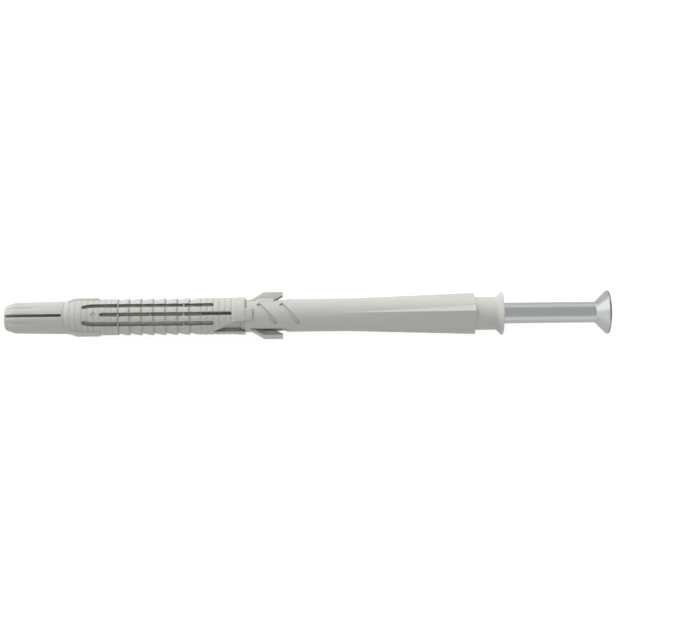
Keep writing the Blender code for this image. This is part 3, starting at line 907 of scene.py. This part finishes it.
def thread_sections():
    """The thread as a ridge that winds round the core and runs out at both ends."""
    per_turn = 48
    start = SCREW_POINT + 1.2 * MM
    end = SCREW_POINT + THREAD_LENGTH - 0.5 * MM
    steps = int((end - start) / THREAD_PITCH * per_turn)
    sections = []
    for i in range(steps + 1):
        share = i / steps
        station = start + (end - start) * share
        angle = 2.0 * math.pi * i / per_turn
        from_point = station - SCREW_POINT
        run_in = min(1.0, from_point / POINT_LENGTH)
        run_out = smooth_step((end - station) / THREAD_RUN_OUT)
        core = THREAD_ROOT * run_in
        foot = core - THREAD_SINK * run_out
        crest = core + (THREAD_CREST - THREAD_ROOT) * run_in * run_out
        sections.append([
            on_meridian(station - THREAD_HALF_FOOT, angle, foot),
            on_meridian(station - THREAD_HALF_CREST, angle, crest),
            on_meridian(station + THREAD_HALF_CREST, angle, crest),
            on_meridian(station + THREAD_HALF_FOOT, angle, foot),
        ])
    return sections


def build_screw():
    """The countersunk screw, with its thread and cross recess."""
    mesh = bmesh.new()
    add_loft(mesh, [circle(s, r) for s, r in screw_outline()])
    screw = link_mesh("screw_body", mesh)
    combine(screw, "DIFFERENCE", build_tools("recess", recess_bodies()))
    combine(screw, "DIFFERENCE", build_tools("tick", tick_bodies()))
    bake(screw)
    shade(screw, 25.0)
    mesh = bmesh.new()
    add_loft(mesh, thread_sections())
    thread = link_mesh("screw_thread", mesh)
    shade(thread, 35.0)
    return screw, thread


class Nodes:
    """A small helper that builds a node tree."""

    def __init__(self, tree):
        self.tree = tree

    def add(self, kind, **values):
        """A new node of a kind, with some of its settings."""
        node = self.tree.nodes.new(kind)
        for key, value in values.items():
            setattr(node, key, value)
        return node

    def link(self, a, out, b, into):
        """Feed one node's output into another node's input."""
        self.tree.links.new(a.outputs[out], b.inputs[into])


def new_material(name):
    """A material, the helper for its nodes and its main shader."""
    material = bpy.data.materials.new(name)
    material.use_nodes = True
    nodes = Nodes(material.node_tree)
    return material, nodes, material.node_tree.nodes["Principled BSDF"]


def nylon_material():
    """Grey moulded nylon, satin, with a very fine grain and painted shade in its crevices and
    recesses.
    """
    material, nodes, shader = new_material("nylon")
    shader.inputs["Roughness"].default_value = 0.46
    # Painted shade: ambient occlusion mixes the darker colour into crevices, slots and recesses
    painted_shade_mask = nodes.add("ShaderNodeAmbientOcclusion", samples=8)
    painted_shade_mask.inputs["Distance"].default_value = 2.2 * MM
    spread = nodes.add("ShaderNodeMapRange")
    spread.inputs["From Min"].default_value = 0.22
    spread.inputs["From Max"].default_value = 0.91
    tone = nodes.add("ShaderNodeMix", data_type="RGBA")
    tone.inputs[6].default_value = NYLON_PAINTED_SHADE_COLOUR
    tone.inputs[7].default_value = NYLON_COLOUR
    nodes.link(painted_shade_mask, "AO", spread, "Value")
    nodes.link(spread, 0, tone, "Factor")
    nodes.link(tone, 2, shader, "Base Color")
    shader.inputs["Specular IOR Level"].default_value = 0.35
    shader.inputs["Subsurface Weight"].default_value = 0.6
    shader.inputs["Subsurface Radius"].default_value = (1.0, 0.95, 0.85)
    shader.inputs["Subsurface Scale"].default_value = 0.7 * MM
    place = nodes.add("ShaderNodeTexCoord")
    grain = nodes.add("ShaderNodeTexNoise")
    grain.inputs["Scale"].default_value = 3200.0
    grain.inputs["Detail"].default_value = 3.0
    nodes.link(place, "Object", grain, "Vector")
    bump = nodes.add("ShaderNodeBump")
    bump.inputs["Strength"].default_value = 0.10
    bump.inputs["Distance"].default_value = 0.03 * MM
    nodes.link(grain, "Fac", bump, "Height")
    nodes.link(bump, "Normal", shader, "Normal")
    return material


def steel_material():
    """Bright zinc plating with faint lines round the axis and painted shade on the head's rim."""
    material, nodes, shader = new_material("zinc_steel")
    shader.inputs["Metallic"].default_value = 1.0
    shader.inputs["Roughness"].default_value = 0.26
    place = nodes.add("ShaderNodeTexCoord")
    along = nodes.add("ShaderNodeSeparateXYZ")
    nodes.link(place, "Object", along, 0)
    # Painted shade: a darker band of the base colour round the head's rim
    half_rim = 0.19 * MM
    rim = nodes.add("ShaderNodeMath", operation="COMPARE")
    rim.inputs[1].default_value = TOTAL_LENGTH / 2.0 - HEAD_EDGE - half_rim
    rim.inputs[2].default_value = half_rim
    nodes.link(along, "X", rim, 0)
    tone = nodes.add("ShaderNodeMix", data_type="RGBA")
    tone.inputs[6].default_value = ZINC_COLOUR
    tone.inputs[7].default_value = ZINC_RIM_SHADE_COLOUR
    nodes.link(rim, 0, tone, "Factor")
    nodes.link(tone, 2, shader, "Base Color")
    stretch = nodes.add("ShaderNodeMapping")
    stretch.inputs["Scale"].default_value = (9000.0, 500.0, 500.0)
    nodes.link(place, "Object", stretch, "Vector")
    lines = nodes.add("ShaderNodeTexNoise")
    lines.inputs["Scale"].default_value = 1.0
    lines.inputs["Detail"].default_value = 2.0
    nodes.link(stretch, "Vector", lines, "Vector")
    bump = nodes.add("ShaderNodeBump")
    bump.inputs["Strength"].default_value = 0.06
    bump.inputs["Distance"].default_value = 0.02 * MM
    nodes.link(lines, "Fac", bump, "Height")
    nodes.link(bump, "Normal", shader, "Normal")
    return material


def seen_directly(nodes):
    """A value that is 1 for camera, glossy and transmission rays."""
    path = nodes.add("ShaderNodeLightPath")
    first = nodes.add("ShaderNodeMath", operation="MAXIMUM")
    second = nodes.add("ShaderNodeMath", operation="MAXIMUM")
    nodes.link(path, "Is Camera Ray", first, 0)
    nodes.link(path, "Is Glossy Ray", first, 1)
    nodes.link(first, 0, second, 0)
    nodes.link(path, "Is Transmission Ray", second, 1)
    return second


def floor_material():
    """A pale floor that looks white and keeps a faint shadow."""
    material = bpy.data.materials.new("pale_floor")
    material.use_nodes = True
    tree = material.node_tree
    tree.nodes.clear()
    nodes = Nodes(tree)
    out = nodes.add("ShaderNodeOutputMaterial")
    mix = nodes.add("ShaderNodeMixShader")
    seen = seen_directly(nodes)
    plain = nodes.add("ShaderNodeBsdfDiffuse")
    plain.inputs["Color"].default_value = (0.80, 0.80, 0.80, 1.0)
    both = nodes.add("ShaderNodeAddShader")
    glow = nodes.add("ShaderNodeEmission")
    path = nodes.add("ShaderNodeLightPath")
    strength = nodes.add("ShaderNodeMath", operation="MULTIPLY_ADD")
    strength.inputs[1].default_value = FLOOR_GLOW_FOR_CAMERA
    strength.inputs[2].default_value = FLOOR_GLOW
    nodes.link(path, "Is Camera Ray", strength, 0)
    nodes.link(strength, 0, glow, "Strength")
    faint = nodes.add("ShaderNodeBsdfDiffuse")
    faint.inputs["Color"].default_value = (0.30, 0.30, 0.30, 1.0)
    nodes.link(glow, 0, both, 0)
    nodes.link(faint, 0, both, 1)
    nodes.link(seen, 0, mix, 0)
    nodes.link(plain, 0, mix, 1)
    nodes.link(both, 0, mix, 2)
    nodes.link(mix, 0, out, "Surface")
    return material


def build_floor():
    """A wide floor just under the collar."""
    mesh = bmesh.new()
    height = cad_size[0].z - FLOOR_GAP
    corners = [mesh.verts.new((x * FLOOR_REACH, y * FLOOR_REACH, height))
               for x, y in ((-1, -1), (1, -1), (1, 1), (-1, 1))]
    mesh.faces.new(corners)
    floor = add_mesh("floor", mesh)
    floor.data.materials.append(floor_material())


def build_world():
    """Even studio light, with a white backdrop, greyer overhead, where it is seen directly."""
    world = bpy.data.worlds.new("studio")
    world.use_nodes = True
    bpy.context.scene.world = world
    tree = world.node_tree
    tree.nodes.clear()
    nodes = Nodes(tree)
    out = nodes.add("ShaderNodeOutputWorld")
    mix = nodes.add("ShaderNodeMixShader")
    light = nodes.add("ShaderNodeBackground")
    light.inputs["Color"].default_value = (1.0, 1.0, 1.0, 1.0)
    light.inputs["Strength"].default_value = WORLD_STRENGTH
    backdrop = nodes.add("ShaderNodeBackground")
    backdrop.inputs["Color"].default_value = (1.0, 1.0, 1.0, 1.0)
    place = nodes.add("ShaderNodeTexCoord")
    height = nodes.add("ShaderNodeSeparateXYZ")
    fade = nodes.add("ShaderNodeMapRange")
    fade.inputs["From Min"].default_value = 0.35
    fade.inputs["From Max"].default_value = 0.70
    fade.inputs["To Min"].default_value = 1.0
    fade.inputs["To Max"].default_value = 0.56
    nodes.link(place, "Generated", height, 0)
    nodes.link(height, "Z", fade, "Value")
    nodes.link(fade, 0, backdrop, "Strength")
    seen = seen_directly(nodes)
    nodes.link(seen, 0, mix, 0)
    nodes.link(light, 0, mix, 1)
    nodes.link(backdrop, 0, mix, 2)
    nodes.link(mix, 0, out, "Surface")


def add_sun(name, strength, spread, source):
    """A sun lamp that shines from a direction."""
    data = bpy.data.lights.new(name, "SUN")
    data.energy = strength
    data.angle = spread
    lamp = add_object(name, data)
    lamp.rotation_mode = "QUATERNION"
    lamp.rotation_quaternion = source.to_track_quat("Z", "Y")
    return lamp


def build_lamps():
    """A soft key lamp, low towards +Y and the nose, and its wide gleam on the metal."""
    level = math.cos(KEY_RISE)
    source = Vector((-math.sin(KEY_TURN) * level, math.cos(KEY_TURN) * level,
                     math.sin(KEY_RISE)))
    key = add_sun("key", KEY_STRENGTH, KEY_SPREAD, source)
    key.visible_glossy = False
    glint = add_sun("glint", GLINT_STRENGTH, GLINT_SPREAD, GLINT_SOURCE)
    glint.visible_diffuse = False


def build_camera():
    """The camera looks almost straight down on the plug, leaning towards -Y."""
    data = bpy.data.cameras.new("camera")
    data.sensor_fit = "HORIZONTAL"
    data.sensor_width = 36.0
    data.lens = FOCAL_PIXELS / FRAME_WIDTH * data.sensor_width
    data.shift_x = (FRAME_WIDTH / 2.0 - CENTRE_COLUMN) / FRAME_WIDTH
    data.clip_start = 0.01
    data.clip_end = 10.0
    camera = add_object("camera", data)
    distance = FOCAL_PIXELS / SCALE_PIXELS * MM
    back = Vector((0.0, -math.cos(CAMERA_ELEVATION), math.sin(CAMERA_ELEVATION)))
    right = Vector((1.0, 0.0, 0.0))
    up = back.cross(right)
    right, up = (right * math.cos(CAMERA_ROLL) - up * math.sin(CAMERA_ROLL),
                 up * math.cos(CAMERA_ROLL) + right * math.sin(CAMERA_ROLL))
    centre_station = (CENTRE_COLUMN - NOSE_COLUMN) / SCALE_PIXELS * MM
    target = Vector((centre_station - TOTAL_LENGTH / 2.0, 0.0, AXIS_HEIGHT))
    target -= up * (CENTRE_ROW_RISE / SCALE_PIXELS * MM)
    place = target + back * distance
    camera.matrix_world = Matrix((
        (right.x, up.x, back.x, place.x),
        (right.y, up.y, back.y, place.y),
        (right.z, up.z, back.z, place.z),
        (0.0, 0.0, 0.0, 1.0),
    ))
    bpy.context.scene.camera = camera


def main():
    """Build the pieces, dress them and set the stage."""
    plug = build_plug()
    plug.data.materials.clear()
    plug.data.materials.append(nylon_material())
    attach(plug, "root")
    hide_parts("wall_plug")
    steel = steel_material()
    screw, thread = build_screw()
    for piece in (screw, thread):
        piece.data.materials.clear()
        piece.data.materials.append(steel)
        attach(piece, "root")
    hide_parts("countersunk_screw")
    build_floor()
    build_world()
    build_lamps()
    build_camera()
    bpy.context.scene.view_settings.view_transform = "Standard"


main()
